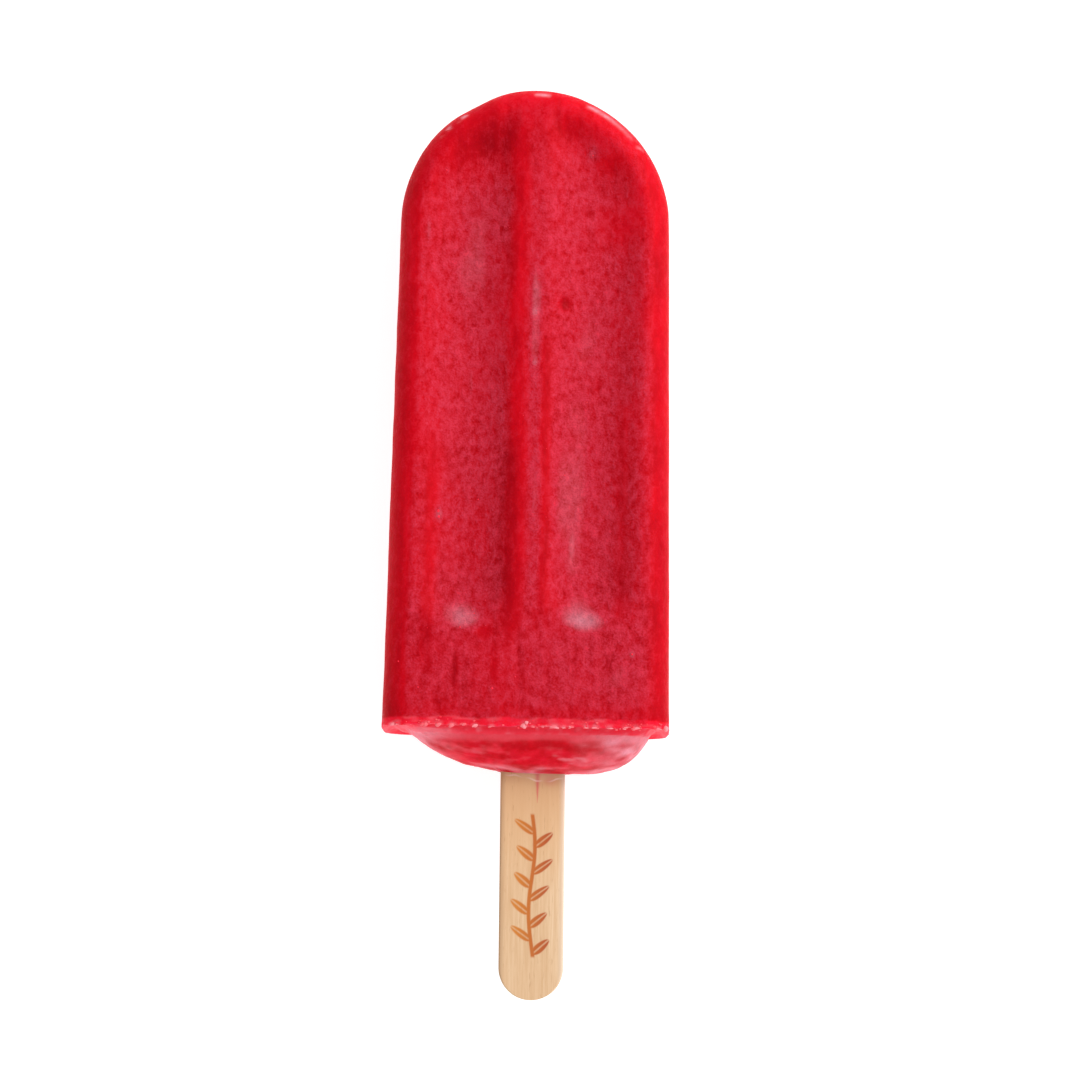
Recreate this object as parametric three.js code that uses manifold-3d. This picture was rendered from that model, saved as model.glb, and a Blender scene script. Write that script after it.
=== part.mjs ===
// Ice pop: a bar of frozen fruit ice on a flat wooden stick, lying on its back face.
//
// Millimetres, +Z up. +Y runs from the stick's free end to the bar's round tip, +X is the
// bar's right as it is seen from above, and the origin is the middle of the object's
// footprint, on the surface it lies on.
//
// The bar is drawn as it stood in its mould: its rim is at y = 0, its tip at
// y = BAR_LENGTH, and z = 0 is the plane that the stick lies in. The faces have the mould's
// draft, so the whole is turned by that draft to lay the back face down flat.
import * as THREE from "three";
import { mergeVertices } from "three/addons/utils/BufferGeometryUtils.js";
import Module from "manifold-3d";

// The bar, as the mould shapes it
const BAR_LENGTH = 100.4; // rim to tip
const RIM_WIDTH = 44.5;
const RIM_THICKNESS = 24;
const FACE_DRAFT = THREE.MathUtils.degToRad(1.1);
const SIDE_DRAFT = THREE.MathUtils.degToRad(0.8);
const EDGE_RADIUS = 4; // rounding between a face and the wall round it
const SIDE_BOW = 0.5; // how far the walls curve in towards the faces
const RIM_BEVEL_HEIGHT = 1.5; // the faces' worn edge at the rim
const RIM_BEVEL_DEPTH = 0.7;
const RIM_BEVEL_ROUND = 0.25; // rounding at its upper end, as a share of its height

// Two channels pressed into each face, with a ridge between them
const RIDGE_WIDTH = 5.4;
const BORDER_AT_RIM = 5.3; // from the outline to the channel
const BORDER_AT_TIP = 4.2;
const CHANNEL_DEPTH = 2.3;
const CHANNEL_START = 15.2; // from the rim to the channel's round end
const LIP_SOFTNESS = 0.45; // rounding of the channels' lips, as a share of their depth
const CORNER_BLEND = 2.5; // rounding where ridge and border meet near the tip

// Flats on the shoulders, where the bar has melted a little, by their degrees round the
// dome from +X
const MELTED_FLATS = [
  { angle: 118, depth: 0.35, spread: 4 },
  { angle: 53, depth: 0.15, spread: 8 },
];

// The open end: a raised rim with a gutter inside it, and the hump that freezing pushes up
const HUMP_HEIGHT = 6.5;
const HUMP_REACH = { left: 18.4, right: 19.6, depth: 10.4 }; // from the end's middle
const HUMP_FULLNESS = { left: 2.4, right: 5.8, depth: 2.3 }; // 2 is round, more is squarer
const GUTTER_DEPTH = 0.7;
const GUTTER_AT = 0.93; // as a share of the way from the end's middle to its rim
const GUTTER_SPREAD = 0.04;

// The stick
const STICK_LENGTH = 114;
const STICK_WIDTH = 10;
const STICK_THICKNESS = 2;
const STICK_BEVEL = 0.3;
const STICK_SHOWS = 34.9; // beyond the hump
const STICK_OFFSET = 1.2; // to the right of the bar's middle, at the rim
const STICK_LEAN = THREE.MathUtils.degToRad(0.46);
const STICK_CLEARANCE = 0.3; // between the wood and the pocket in the ice

// Facets: steps across half a face, down a wall, along the bar, and over its open end
const ACROSS = { ridge: 2, channel: 10, border: 3, fillet: 6 };
const WALL_STEPS = 4;
const ALONG = { bevel: 3, plain: 3, channelEnd: 6, channel: 8, dome: 20 };
const OVER_END = { hump: 8, gutter: 8 };
const STICK_CURVE_SEGMENTS = 12;
const STICK_BEVEL_SEGMENTS = 2;
const MERGE_DISTANCE = 1e-4; // vertices closer than this are one

// Worked out from the sizes above
const SIDE_TAPER = Math.tan(SIDE_DRAFT);
const RIM_HALF_WIDTH = RIM_WIDTH / 2;
const DOME_RADIUS = (RIM_HALF_WIDTH - BAR_LENGTH * SIDE_TAPER) / (1 - SIDE_TAPER);
const DOME_START = BAR_LENGTH - DOME_RADIUS;

// n equal steps from a to b, without b.
const steps = (a, b, n) => Array.from({ length: n }, (_, i) => a + ((b - a) * i) / n);

// The lesser of a and b, rounded over the width k where they are close.
function smoothMin(a, b, k) {
  const overlap = Math.max(k - Math.abs(a - b), 0) / k;
  return Math.min(a, b) - (overlap * overlap * k) / 4;
}

// The greater of a and b, rounded likewise.
const smoothMax = (a, b, k) => -smoothMin(-a, -b, k);

// Half the bar's width at y if it had no dome, and half its thickness between the faces.
const straightHalfWidth = (y) => RIM_HALF_WIDTH - y * SIDE_TAPER;
const halfThickness = (y) => RIM_THICKNESS / 2 - y * Math.tan(FACE_DRAFT);

// Half the outline's width at y: drafted straight sides that end in a half circle.
function halfWidth(y) {
  const up = Math.max(y - DOME_START, 0) / DOME_RADIUS;
  return straightHalfWidth(y) * Math.sqrt(Math.max(1 - up * up, 0));
}

// How far a point of the face lies inside the outline.
function inset(x, y) {
  const half = straightHalfWidth(y);
  if (y < DOME_START) return half - Math.abs(x);
  return DOME_RADIUS - Math.hypot((x * DOME_RADIUS) / half, y - DOME_START);
}

// The channel's depth at a point: a trough between the ridge and the border, which ends in
// a half circle near the rim and follows the dome at the tip. Its section is a parabola.
function channelDepth(x, y) {
  const across = Math.abs(x);
  const towardsTip = THREE.MathUtils.smoothstep(y, DOME_START / 2, DOME_START);
  const border = THREE.MathUtils.lerp(BORDER_AT_RIM, BORDER_AT_TIP, towardsTip);
  const outer = straightHalfWidth(y) - border;
  const half = (outer - RIDGE_WIDTH / 2) / 2;
  const endCentre = CHANNEL_START + half;
  const inside =
    y < endCentre
      ? half - Math.hypot(across - (outer - half), y - endCentre)
      : smoothMin(across - RIDGE_WIDTH / 2, inset(x, y) - border, CORNER_BLEND);
  const aside = Math.max(1 - inside / half, 0);
  const sunk = smoothMax(1 - aside * aside, 0, LIP_SOFTNESS);
  return CHANNEL_DEPTH * Math.min(sunk, 1);
}

// Height of either face above the stick's plane: flat, rounded down to the wall at its
// edge, less the channels and the straight bevel at the rim.
function faceHeight(x, y) {
  const fromCrown = 1 - Math.min(Math.max(inset(x, y), 0) / EDGE_RADIUS, 1);
  const drop = EDGE_RADIUS * (1 - Math.sqrt(1 - fromCrown * fromCrown));
  const bevel = RIM_BEVEL_DEPTH * smoothMax(1 - y / RIM_BEVEL_HEIGHT, 0, RIM_BEVEL_ROUND);
  return halfThickness(y) - drop - bevel - channelDepth(x, y);
}

// How far the open end stands out beyond the rim at a point across it, which lies the
// given share of the way from the middle to the rim.
function endRise(x, z, share) {
  const side = x < 0 ? "left" : "right";
  const u = Math.min(Math.abs(x) / HUMP_REACH[side], 1);
  const v = Math.min(Math.abs(z) / HUMP_REACH.depth, 1);
  const hump = HUMP_HEIGHT * (1 - u ** HUMP_FULLNESS[side]) * (1 - v ** HUMP_FULLNESS.depth);
  const gutter = (at) => Math.exp(-(((at - GUTTER_AT) / GUTTER_SPREAD) ** 2));
  return hump - GUTTER_DEPTH * Math.max(gutter(share) - gutter(1), 0);
}

// Shares of the half width at which the faces have their columns of vertices, from the
// middle out: close together over the channel's walls and round the edge.
function columnShares() {
  const channelIn = RIDGE_WIDTH / 2;
  const channelOut = RIM_HALF_WIDTH - BORDER_AT_RIM;
  const crown = RIM_HALF_WIDTH - EDGE_RADIUS;
  const middle = (channelIn + channelOut) / 2;
  const reach = (channelOut - channelIn) / 2;
  const channel = steps(-Math.PI / 2, Math.PI / 2, ACROSS.channel).map(
    (angle) => middle + reach * Math.sin(angle),
  );
  const fillet = steps(Math.PI / 2, 0, ACROSS.fillet).map(
    (angle) => crown + EDGE_RADIUS * Math.cos(angle),
  );
  return [
    ...steps(0, channelIn, ACROSS.ridge),
    ...channel,
    ...steps(channelOut, crown, ACROSS.border),
    ...fillet,
    RIM_HALF_WIDTH,
  ].map((x) => x / RIM_HALF_WIDTH);
}

// One closed section of the bar at y: front face, right wall, back face, left wall.
function section(y) {
  const width = halfWidth(y);
  const wall = halfThickness(y) - EDGE_RADIUS;
  const right = columnShares();
  const shares = [...right.slice(1).reverse().map((share) => -share), ...right];
  const face = shares.map((share) => [share, faceHeight(share * width, y)]);
  const side = steps(wall, -wall, WALL_STEPS).slice(1).map((z) => [1, z]);
  const front = [...face, ...side];
  const back = front.map(([share, z]) => [-share, -z]);
  return [...front, ...back].map(([share, z]) => {
    const bow = SIDE_BOW * (z / halfThickness(y)) ** 2 * Math.abs(share) ** 3;
    return new THREE.Vector3(share * (width - bow * (width / RIM_HALF_WIDTH)), y, z);
  });
}

// The sections' places along the bar: close together at the rim and the channels' ends,
// evenly round the dome.
function stations() {
  const channelTurned = CHANNEL_START + (RIM_HALF_WIDTH - BORDER_AT_RIM) / 2;
  const dome = steps(0, Math.PI / 2, ALONG.dome).map(
    (angle) => DOME_START + DOME_RADIUS * Math.sin(angle),
  );
  return [
    ...steps(0, RIM_BEVEL_HEIGHT, ALONG.bevel),
    ...steps(RIM_BEVEL_HEIGHT, CHANNEL_START, ALONG.plain),
    ...steps(CHANNEL_START, channelTurned, ALONG.channelEnd),
    ...steps(channelTurned, DOME_START, ALONG.channel),
    ...dome,
    BAR_LENGTH,
  ];
}

// The open end as rings, from its middle out to the rim: the rim's section, drawn in.
function endRings() {
  const gutterStart = GUTTER_AT - 3 * GUTTER_SPREAD;
  const hump = steps(0, gutterStart, OVER_END.hump);
  const gutter = steps(gutterStart, 1, OVER_END.gutter);
  return [...hump, ...gutter].map((share) =>
    section(0).map((point) => {
      const { x, z } = point.multiplyScalar(share);
      return point.setY(-endRise(x, z, share));
    }),
  );
}

// Melts the flats into the shoulders: points near each move in towards the dome's centre.
function melt(point) {
  for (const { angle, depth, spread } of MELTED_FLATS) {
    const outward = new THREE.Vector3(1, 0, 0);
    outward.applyAxisAngle(new THREE.Vector3(0, 0, 1), THREE.MathUtils.degToRad(angle));
    const centre = outward.clone().multiplyScalar(DOME_RADIUS);
    const away = Math.hypot(point.x - centre.x, point.y - DOME_START - centre.y) / spread;
    point.addScaledVector(outward, -depth * Math.exp(-away * away));
  }
}

// A closed surface through rings of equally many points. The first ring is one point, and
// the last folds onto a line.
function skin(rings) {
  const round = rings[0].length;
  const corners = rings.flat().flatMap((p) => p.toArray());
  const index = [];
  for (let row = 0; row < rings.length - 1; row++) {
    for (let i = 0; i < round; i++) {
      const next = (i + 1) % round;
      const [a, b] = [row * round + i, row * round + next];
      const [c, d] = [a + round, b + round];
      index.push(a, b, d, a, d, c);
    }
  }
  const geometry = new THREE.BufferGeometry();
  geometry.setAttribute("position", new THREE.Float32BufferAttribute(corners, 3));
  geometry.setIndex(index);
  return geometry;
}

const wasm = await Module();
wasm.setup();

// A closed geometry as a manifold solid, with its shared vertices merged and the triangles
// dropped that this folds up.
function toSolid(source) {
  const bare = source.clone().deleteAttribute("normal").deleteAttribute("uv");
  const merged = mergeVertices(bare, MERGE_DISTANCE);
  const index = merged.index.array;
  const kept = [];
  for (let i = 0; i < index.length; i += 3) {
    const [a, b, c] = index.slice(i, i + 3);
    if (a !== b && b !== c && c !== a) kept.push(a, b, c);
  }
  const vertProperties = merged.attributes.position.array;
  return new wasm.Manifold(
    new wasm.Mesh({ numProp: 3, vertProperties, triVerts: new Uint32Array(kept) }),
  );
}

// A manifold solid as a three.js geometry.
function toGeometry(solid) {
  const { numProp, vertProperties, triVerts } = solid.getMesh();
  const vertices = new THREE.InterleavedBuffer(vertProperties, numProp);
  const geometry = new THREE.BufferGeometry();
  geometry.setAttribute("position", new THREE.InterleavedBufferAttribute(vertices, 3, 0));
  geometry.setIndex(new THREE.BufferAttribute(triVerts, 1));
  const flat = geometry.toNonIndexed();
  flat.computeVertexNormals();
  return flat;
}

// The stick where it lies in the bar, made larger all round by grow: a flat slat with
// round ends and eased edges.
function stickGeometry(grow) {
  const bevel = STICK_BEVEL;
  const radius = STICK_WIDTH / 2 + grow - bevel;
  const half = STICK_LENGTH / 2 + grow - bevel - radius;
  const depth = STICK_THICKNESS + 2 * (grow - bevel);
  const outline = new THREE.Shape()
    .absarc(0, half, radius, 0, Math.PI)
    .absarc(0, -half, radius, Math.PI, 2 * Math.PI)
    .closePath();
  const slat = new THREE.ExtrudeGeometry(outline, {
    depth,
    bevelThickness: bevel,
    bevelSize: bevel,
    bevelSegments: STICK_BEVEL_SEGMENTS,
    curveSegments: STICK_CURVE_SEGMENTS,
  });
  const middle = STICK_LENGTH / 2 - STICK_SHOWS - HUMP_HEIGHT;
  return slat
    .translate(0, 0, -depth / 2)
    .translate(0, middle, 0)
    .rotateZ(STICK_LEAN)
    .translate(STICK_OFFSET, 0, 0);
}

function makeIce() {
  const rings = [...endRings(), ...stations().map(section)];
  rings.flat().forEach(melt);
  const bar = toSolid(skin(rings));
  const pocket = toSolid(stickGeometry(STICK_CLEARANCE));
  const ice = new THREE.Mesh(
    toGeometry(bar.subtract(pocket)),
    new THREE.MeshStandardMaterial({ color: 0xcd2337, roughness: 0.45, metalness: 0 }),
  );
  ice.name = "ice";
  return ice;
}

function makeStick() {
  const stick = new THREE.Mesh(
    stickGeometry(0),
    new THREE.MeshStandardMaterial({ color: 0xe4b98c, roughness: 0.7, metalness: 0 }),
  );
  stick.name = "stick";
  return stick;
}

// Lays the bar on its back face and puts the middle of its footprint at the origin.
function layDown(...pieces) {
  const lying = new THREE.Group();
  lying.add(...pieces);
  lying.rotation.x = -FACE_DRAFT;
  const pop = new THREE.Group();
  pop.add(lying);
  const box = new THREE.Box3().setFromObject(pop, true);
  const middle = box.getCenter(new THREE.Vector3());
  lying.position.set(-middle.x, -middle.y, -box.min.z);
  return pop;
}

export default layDown(makeIce(), makeStick());
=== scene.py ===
"""Ice pop: the look of a bar of frozen fruit ice on a flat birch stick, lying on its back.

Lengths are in millimetres in the bar's own frame until a piece is placed. There the rim is at
y = 0, the tip at y = BarMould.length, and the stick lies in the plane z = 0. LyingPlace turns and
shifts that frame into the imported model's, in metres.
"""

from __future__ import annotations

import logging
import math
from dataclasses import dataclass, field
from enum import Enum
from typing import Any, Iterable, Sequence

import bpy
import numpy as np
from mathutils import Matrix, Vector


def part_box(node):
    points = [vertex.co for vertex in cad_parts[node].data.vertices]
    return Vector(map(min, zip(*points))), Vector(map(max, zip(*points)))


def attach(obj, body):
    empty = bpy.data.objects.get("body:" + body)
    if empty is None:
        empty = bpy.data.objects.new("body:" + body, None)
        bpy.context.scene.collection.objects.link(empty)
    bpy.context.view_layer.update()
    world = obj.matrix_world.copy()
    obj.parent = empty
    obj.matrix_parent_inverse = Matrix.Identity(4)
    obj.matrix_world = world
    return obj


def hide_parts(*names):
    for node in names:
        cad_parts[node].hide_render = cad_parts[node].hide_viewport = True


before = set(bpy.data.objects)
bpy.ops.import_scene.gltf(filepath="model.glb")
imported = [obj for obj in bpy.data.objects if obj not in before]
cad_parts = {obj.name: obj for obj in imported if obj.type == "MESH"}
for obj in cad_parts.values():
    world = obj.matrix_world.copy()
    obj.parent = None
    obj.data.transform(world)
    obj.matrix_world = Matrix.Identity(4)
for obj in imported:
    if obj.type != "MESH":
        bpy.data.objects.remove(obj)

LOG = logging.getLogger("ice_pop")
MM = 0.001

Array = np.ndarray
Rows = tuple[tuple[float, ...], ...]


# ---------------------------------------------------------------- numbers and noise


def smoothstep(values: Array, low: float, high: float) -> Array:
    """Ease from 0 at low to 1 at high, as t squared times 3 minus 2t.

    Args:
        values: Numbers of any shape.
        low: Where the ease starts.
        high: Where it ends. It may be less than low, which turns the ease round.

    Returns:
        Numbers from 0 to 1 in the shape of values.
    """
    t = np.clip((values - low) / (high - low), 0.0, 1.0)
    return t * t * (3.0 - 2.0 * t)


def bell(values: Array, middle: float, spread: float) -> Array:
    """Bell curve, e to the minus square of the distance from middle over spread."""
    return np.exp(-(((values - middle) / spread) ** 2))


def smooth_max(values: Array, floor: float, width: float) -> Array:
    """Greater of values and floor, rounded by a parabola where they are within width."""
    near = np.clip(width - np.abs(values - floor), 0.0, None) / width
    return np.maximum(values, floor) + near * near * width / 4.0


def lattice(cells: Array, seed: int) -> Array:
    """Hash whole-number cells to numbers from -1 to 1.

    Args:
        cells: Whole numbers, with x, y and z along the last axis.
        seed: Which of many unlike hashes to use.

    Returns:
        One number for each cell.
    """
    c = cells.astype(np.uint64)
    h = c[..., 0] * np.uint64(73856093)
    h ^= c[..., 1] * np.uint64(19349663)
    h ^= c[..., 2] * np.uint64(83492791)
    h ^= np.uint64(seed * 2654435761 % 2**32)
    h &= np.uint64(0xFFFFFFFF)
    h = (h ^ (h >> np.uint64(15))) * np.uint64(2246822519) & np.uint64(0xFFFFFFFF)
    h = (h ^ (h >> np.uint64(13))) * np.uint64(3266489917) & np.uint64(0xFFFFFFFF)
    h ^= h >> np.uint64(16)
    return h.astype(np.float64) / 2**31 - 1.0


def noise(points: Array, cell: float | Sequence[float], seed: int) -> Array:
    """Value noise: hashed lattice values, eased together over each cell's eight corners.

    Args:
        points: Places in millimetres, with x, y and z along the last axis.
        cell: Size of a cell in millimetres, one number or one for each axis.
        seed: Which noise to draw.

    Returns:
        Numbers from -1 to 1, one for each point.
    """
    scaled = points / np.asarray(cell, dtype=float) + 512.0
    base = np.floor(scaled)
    t = scaled - base
    t = t * t * (3.0 - 2.0 * t)
    total = np.zeros(points.shape[:-1])
    for corner in np.ndindex(2, 2, 2):
        near = np.array(corner)
        weight = np.prod(np.where(near == 1, t, 1.0 - t), axis=-1)
        total += weight * lattice(base + near, seed)
    return total


def fractal(points: Array, cell: float | Sequence[float], seed: int, octaves: int = 3) -> Array:
    """Sum of noises, each half as coarse and half as strong as the one before.

    Args:
        points: Places in millimetres, with x, y and z along the last axis.
        cell: Size of the coarsest noise's cell.
        seed: Seed of the coarsest noise; the next ones count on from it.
        octaves: How many noises are summed.

    Returns:
        Numbers from about -1 to 1, one for each point.
    """
    size = np.asarray(cell, dtype=float)
    parts = [noise(points, size / 2**k, seed + k) / 2**k for k in range(octaves)]
    return np.sum(parts, axis=0) / (2.0 - 2.0 ** (1 - octaves))


def linear(hex_code: str) -> tuple[float, float, float, float]:
    """Turn an sRGB colour into linear light, by the sRGB standard's curve.

    Args:
        hex_code: The colour, such as "c81e2d".

    Returns:
        Linear red, green and blue, and an alpha of 1.
    """
    channels = [int(hex_code[k : k + 2], 16) / 255.0 for k in (0, 2, 4)]
    rgb = [c / 12.92 if c <= 0.04045 else ((c + 0.055) / 1.055) ** 2.4 for c in channels]
    return (rgb[0], rgb[1], rgb[2], 1.0)


# ---------------------------------------------------------------- meshes


@dataclass(frozen=True)
class LyingPlace:
    """Where the bar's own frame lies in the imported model.

    Attributes:
        tilt: Turn about X that lays the back face down flat, in radians.
        rim_y: The rim's place along the model's Y, in millimetres.
        lift: Height of the stick's plane at the rim, in millimetres.
    """

    tilt: float
    rim_y: float
    lift: float

    def place(self, points: Array) -> Array:
        """Turn points by the tilt about X, shift them, and give them in metres.

        Args:
            points: Places in the bar's frame, in millimetres.

        Returns:
            The same places in the model's frame, in metres.
        """
        c, s = math.cos(self.tilt), math.sin(self.tilt)
        x, y, z = points[..., 0], points[..., 1], points[..., 2]
        turned = np.stack([x, y * c + z * s + self.rim_y, z * c - y * s + self.lift], axis=-1)
        return turned * MM


def mesh_object(name: str, points: Array, faces: Array, shades: dict[str, Array]) -> bpy.types.Object:
    """Make a smooth mesh object at the origin from whole arrays.

    Args:
        name: Name of the object and its mesh.
        points: Corner places in the model's frame, in metres, one row each.
        faces: Corner numbers of each quad or triangle, one row each.
        shades: One number for each corner, by the attribute's name.

    Returns:
        The object, linked to the scene.
    """
    mesh = bpy.data.meshes.new(name)
    corners = faces.shape[1]
    mesh.vertices.add(len(points))
    mesh.vertices.foreach_set("co", points.astype(np.float32).ravel())
    mesh.loops.add(faces.size)
    mesh.loops.foreach_set("vertex_index", faces.astype(np.int32).ravel())
    mesh.polygons.add(len(faces))
    mesh.polygons.foreach_set("loop_start", np.arange(0, faces.size, corners, dtype=np.int32))
    mesh.polygons.foreach_set("use_smooth", np.ones(len(faces), dtype=bool))
    for key, values in shades.items():
        layer = mesh.attributes.new(key, "FLOAT", "POINT")
        layer.data.foreach_set("value", values.astype(np.float32).ravel())
    mesh.update(calc_edges=True)
    mesh.validate()
    made = bpy.data.objects.new(name, mesh)
    bpy.context.scene.collection.objects.link(made)
    return made


def ring_faces(rings: int, around: int) -> Array:
    """Quads of a closed skin over a grid of rings, each of whose two ends is zipped shut.

    A ring's first and last corners lie side by side, and so do its second and last but one, so
    the two end rings are closed by quads between such pairs.

    Args:
        rings: How many rings the grid has.
        around: How many corners a ring has, an even number.

    Returns:
        Corner numbers of the quads, one row each.
    """
    row, col = np.meshgrid(np.arange(rings - 1), np.arange(around), indexing="ij")
    here, right = row * around + col, row * around + (col + 1) % around
    skin = np.stack([here, right, right + around, here + around], axis=-1).reshape(-1, 4)
    j = np.arange(around // 2 - 1)
    zip_quads = np.stack([j, around - 1 - j, around - 2 - j, j + 1], axis=-1)
    return np.concatenate([skin, zip_quads, zip_quads[:, ::-1] + (rings - 1) * around])


def outward(points: Array, faces: Array) -> Array:
    """Turn a closed skin's quads round if they enclose a negative volume.

    Six times the volume is the sum of each quad's first corner, dotted with the second crossed
    with the third plus the third crossed with the fourth.

    Args:
        points: Corner places, one row each.
        faces: Corner numbers of each quad, one row each.

    Returns:
        The quads, whose normals now point outwards.
    """
    a, b, c, d = (points[faces[:, k]] for k in range(4))
    return faces if np.sum(a * (np.cross(b, c) + np.cross(c, d))) > 0 else faces[:, ::-1]


def grid_normals(points: Array) -> Array:
    """Unit normals of a grid whose second axis closes on itself, pointing away from its middle.

    Each is the cross product of the grid's two central differences.

    Args:
        points: Places as rings by corners by 3.

    Returns:
        Normals in the same shape.
    """
    along = np.gradient(points, axis=0)
    across = np.roll(points, -1, axis=1) - np.roll(points, 1, axis=1)
    normals = np.cross(along, across)
    length = np.linalg.norm(normals, axis=-1, keepdims=True)
    normals /= np.maximum(length, 1e-12)
    middle = points.mean(axis=1, keepdims=True)
    inwards = np.sum(normals * (points - middle), axis=(1, 2)).mean() < 0
    return -normals if inwards else normals


# ---------------------------------------------------------------- the bar's shape


@dataclass(frozen=True)
class SurfaceMark:
    """A small bump, pit, streak or patch of the shown face.

    Attributes:
        x, y: Its middle.
        radius: How far it reaches across.
        stretch: Its length along y as a share of its width.
        height: How far it stands out, negative for a pit.
        frost: How much it whitens the ice, negative where it clears it.
        tone: How much it brightens the ice, negative where it darkens it.
    """

    x: float
    y: float
    radius: float
    stretch: float = 1.0
    height: float = 0.0
    frost: float = 0.0
    tone: float = 0.0


@dataclass(frozen=True)
class FrostBand:
    """A soft upright band of both faces with more or less frost than the rest.

    Attributes:
        x: Its middle.
        spread: How wide it is.
        low: Where it starts, from the rim.
        high: Where it ends.
        frost: How much it whitens the ice, negative where it clears it.
        tone: How much it brightens the ice, negative where it darkens it.
    """

    x: float
    spread: float
    low: float
    high: float
    frost: float
    tone: float = 0.0


@dataclass(frozen=True)
class BarMould:
    """The bar as its mould shapes it: drafted walls, a round tip and two channels a face."""

    length: float = 100.4
    rim_half_width: float = 22.25
    rim_half_thickness: float = 12.0
    face_draft: float = math.radians(1.1)
    side_draft: float = math.radians(0.8)
    edge_radius: float = 4.0
    side_bow: float = 0.5
    rim_bevel_height: float = 1.5
    rim_bevel_depth: float = 0.7
    rim_bevel_round: float = 0.25
    ridge_width: float = 5.4
    border_at_rim: float = 5.3
    border_at_tip: float = 4.2
    channel_depth: float = 2.3
    channel_start: float = 15.2
    lip_softness: float = 0.45
    corner_blend: float = 2.5

    @property
    def dome_radius(self) -> float:
        """Radius of the tip, so that it meets the drafted walls."""
        taper = math.tan(self.side_draft)
        return (self.rim_half_width - self.length * taper) / (1.0 - taper)

    @property
    def dome_start(self) -> float:
        """Where along the bar the round tip starts."""
        return self.length - self.dome_radius

    def straight_half_width(self, y: Array) -> Array:
        """Half the width the bar would have at y with no round tip."""
        return self.rim_half_width - y * math.tan(self.side_draft)

    def half_thickness(self, y: Array) -> Array:
        """Half the thickness between the faces at y."""
        return self.rim_half_thickness - y * math.tan(self.face_draft)

    def half_width(self, y: Array) -> Array:
        """Half the outline's width: the straight one times a half circle's over the tip."""
        up = np.clip((y - self.dome_start) / self.dome_radius, 0.0, 1.0)
        return self.straight_half_width(y) * np.sqrt(1.0 - up * up)

    def inset(self, x: Array, y: Array) -> Array:
        """How far a point of the face lies inside the outline.

        Args:
            x: Places across the bar.
            y: Places along it.

        Returns:
            The distance to the straight side, or to the half circle over the tip.
        """
        half = self.straight_half_width(y)
        beside = half - np.abs(x)
        domed = self.dome_radius - np.hypot(x * self.dome_radius / half, y - self.dome_start)
        return np.where(y < self.dome_start, beside, domed)

    def channel(self, x: Array, y: Array) -> Array:
        """Depth of the channels as a share of their full depth.

        A trough lies between the ridge and the border. Near the rim it ends in a half circle, and
        at the tip it follows the dome. Its section is a parabola, and its lips are rounded where
        the parabola comes up to the face.

        Args:
            x: Places across the bar.
            y: Places along it.

        Returns:
            Shares from 0 on the ridge and border to 1 along the middle of a channel.
        """
        across = np.abs(x)
        to_tip = smoothstep(y, self.dome_start / 2, self.dome_start)
        border = self.border_at_rim + (self.border_at_tip - self.border_at_rim) * to_tip
        outer = self.straight_half_width(y) - border
        half = (outer - self.ridge_width / 2) / 2
        end_middle = self.channel_start + half
        rounded = half - np.hypot(across - (outer - half), y - end_middle)
        from_ridge = across - self.ridge_width / 2
        from_border = self.inset(x, y) - border
        overlap = np.clip(self.corner_blend - np.abs(from_ridge - from_border), 0.0, None)
        straight = np.minimum(from_ridge, from_border) - overlap**2 / (4 * self.corner_blend)
        aside = np.clip(1.0 - np.where(y < end_middle, rounded, straight) / half, 0.0, None)
        return np.minimum(smooth_max(1.0 - aside * aside, 0.0, self.lip_softness), 1.0)

    def face_height(self, x: Array, y: Array) -> Array:
        """Height of either face above the stick's plane.

        It is the half thickness, less a quarter circle towards the outline, less the channels and
        less a chamfer at the rim.

        Args:
            x: Places across the bar.
            y: Places along it.

        Returns:
            Heights in millimetres.
        """
        crown = 1.0 - np.clip(self.inset(x, y) / self.edge_radius, 0.0, 1.0)
        drop = self.edge_radius * (1.0 - np.sqrt(1.0 - crown * crown))
        worn = smooth_max(1.0 - y / self.rim_bevel_height, 0.0, self.rim_bevel_round)
        sunk = self.channel_depth * self.channel(x, y)
        return self.half_thickness(y) - drop - sunk - self.rim_bevel_depth * worn


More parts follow.
